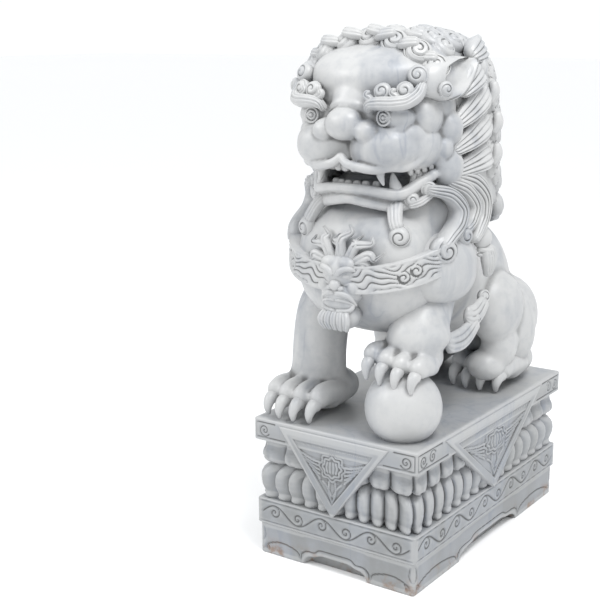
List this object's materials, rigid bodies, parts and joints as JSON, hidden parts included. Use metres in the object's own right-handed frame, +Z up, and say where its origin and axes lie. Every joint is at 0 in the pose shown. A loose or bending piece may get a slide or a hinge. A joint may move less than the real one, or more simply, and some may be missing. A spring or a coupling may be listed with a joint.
{
  "type": "guardian lion statue",
  "caption": "Seated guardian lion in carved pale marble, one forepaw on a ball, on an oblong lotus plinth with a cloth corner hanging over each face.",
  "frame": {"origin": "middle of the plinth's underside, on the ground", "axes": "+Z up, -Y the way the lion faces, +X the lion's left, the side of the ball"},
  "size_m": [0.432, 0.74, 1.1993],
  "materials": {
    "marble": "satin polished pale marble with faint blue-grey veins, darker dust in the carving"
  },
  "bodies": {
    "root": {"guardian_lion": "marble"}
  },
  "joints": []
}
